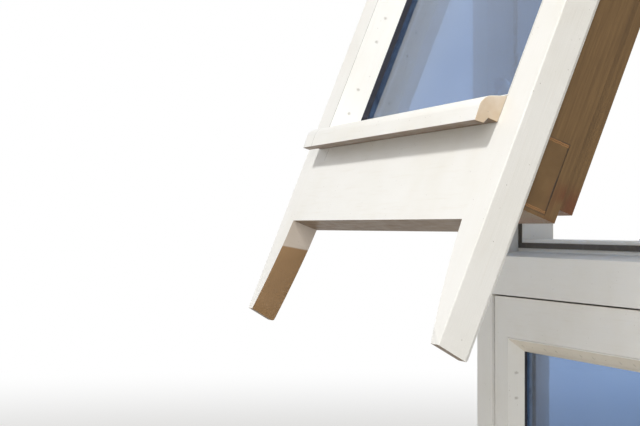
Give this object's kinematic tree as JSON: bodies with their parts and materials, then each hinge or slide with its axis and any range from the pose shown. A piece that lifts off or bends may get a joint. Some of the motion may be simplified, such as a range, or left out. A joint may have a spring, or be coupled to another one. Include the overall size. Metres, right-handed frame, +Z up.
{
  "type": "mock sash window",
  "caption": "Timber window: a top-hung sash with horns and drip mould stands open above a fixed lower sash, in its frame with sill.",
  "frame": {"origin": "middle of the sill's underside, in line with the frame's outer face", "axes": "+Z up, +Y indoors, +X along the wall to the right as seen from outdoors"},
  "size_m": [0.627, 0.3532, 1.1755],
  "materials": {
    "frame_paint": "satin cream-white paint on timber",
    "sash_paint": "satin cream-white paint on timber, brushed",
    "lower_sash_paint": "satin cream-white paint on timber, brushed",
    "bead_paint": "satin cream-white paint",
    "glass": "clear float glass",
    "edge_sealant": "matt black",
    "spacer_metal": "mill finish",
    "glazing_tape": "matt black",
    "weather_seal": "matt dark",
    "setting_block": "matt black",
    "wedge_timber": "bare softwood under thin paint",
    "pin_steel": "painted over",
    "screw_steel": "zinc plated",
    "hinge_steel": "zinc plated",
    "fastener_metal": "satin"
  },
  "bodies": {
    "frame": {"left_jamb": "frame_paint", "right_jamb": "frame_paint", "head": "frame_paint", "transom": "frame_paint", "sill": "frame_paint", "weather_seal": "weather_seal", "lower_left_stile": "lower_sash_paint", "lower_right_stile": "lower_sash_paint", "lower_top_rail": "lower_sash_paint", "lower_bottom_rail": "lower_sash_paint", "lower_outer_pane": "glass", "lower_inner_pane": "glass", "lower_edge_seal": "edge_sealant", "lower_spacer": "spacer_metal", "lower_front_tape": "glazing_tape", "lower_back_tape": "glazing_tape", "lower_bead_left": "bead_paint", "lower_bead_right": "bead_paint", "lower_bead_top": "bead_paint", "lower_bead_bottom": "bead_paint", "lower_bead_pins": "pin_steel", "lower_setting_blocks": "setting_block", "lower_fixing_screws": "screw_steel", "left_frame_leaf": "hinge_steel", "right_frame_leaf": "hinge_steel", "left_hinge_pin": "hinge_steel", "right_hinge_pin": "hinge_steel", "frame_leaf_screws": "screw_steel", "keep": "fastener_metal", "keep_screws": "screw_steel"},
    "sash": {"left_stile": "sash_paint", "right_stile": "sash_paint", "top_rail": "sash_paint", "bottom_rail": "sash_paint", "drip_mould": "sash_paint", "tenon_wedges": "wedge_timber", "sash_outer_pane": "glass", "sash_inner_pane": "glass", "sash_edge_seal": "edge_sealant", "sash_spacer": "spacer_metal", "sash_front_tape": "glazing_tape", "sash_back_tape": "glazing_tape", "sash_bead_left": "bead_paint", "sash_bead_right": "bead_paint", "sash_bead_top": "bead_paint", "sash_bead_bottom": "bead_paint", "sash_bead_pins": "pin_steel", "sash_setting_blocks": "setting_block", "left_sash_leaf": "hinge_steel", "right_sash_leaf": "hinge_steel", "sash_leaf_screws": "screw_steel", "fastener_plate": "fastener_metal", "fastener_cap": "fastener_metal", "fastener_screws": "screw_steel"},
    "handle": {"handle": "fastener_metal"}
  },
  "joints": [
    {"name": "sash_hinge", "type": "hinge", "parent": "frame", "child": "sash", "pos_m": [0, -0.0055, 1.148], "axis": [-1, 0, 0], "range_deg": [-21.8, 18.2]},
    {"name": "handle_pivot", "type": "hinge", "parent": "sash", "child": "handle", "pos_m": [0, -0.14625, 0.6507], "axis": [0, 0.9285, -0.3714], "range_deg": [0, 90]}
  ]
}
